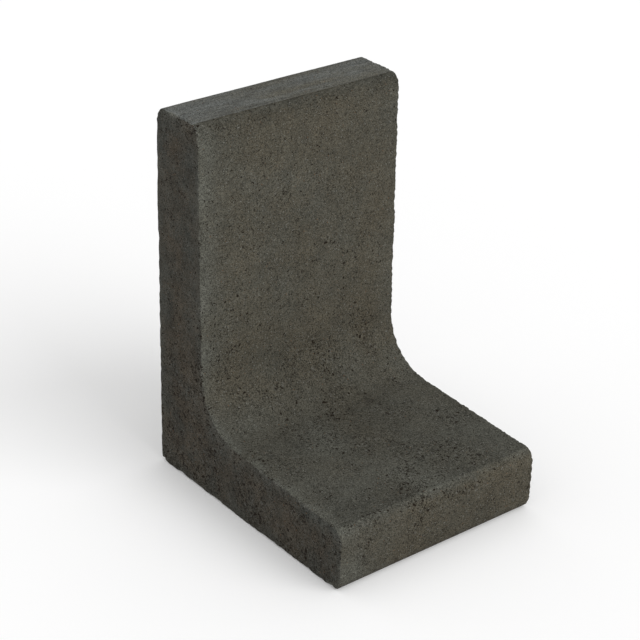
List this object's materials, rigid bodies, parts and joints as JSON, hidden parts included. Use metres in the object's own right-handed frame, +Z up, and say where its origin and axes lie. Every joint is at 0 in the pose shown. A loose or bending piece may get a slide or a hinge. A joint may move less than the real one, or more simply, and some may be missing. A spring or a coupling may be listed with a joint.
{
  "type": "concrete l-block",
  "caption": "Precast concrete L-block for edging and low retaining walls: an upright leg and a thick foot joined by a wide fillet, with rounded long edges and rough-broken end edges.",
  "frame": {"origin": "centre of the base, at the underside", "axes": "+Z up the leg; the foot points along -Y from the flat back face; X runs along the block's width, from end to end"},
  "size_m": [0.25, 0.3, 0.4],
  "materials": {
    "concrete": "dry-cast concrete, matt, fine-grained with small pores"
  },
  "bodies": {
    "root": {"l_block": "concrete"}
  },
  "joints": []
}
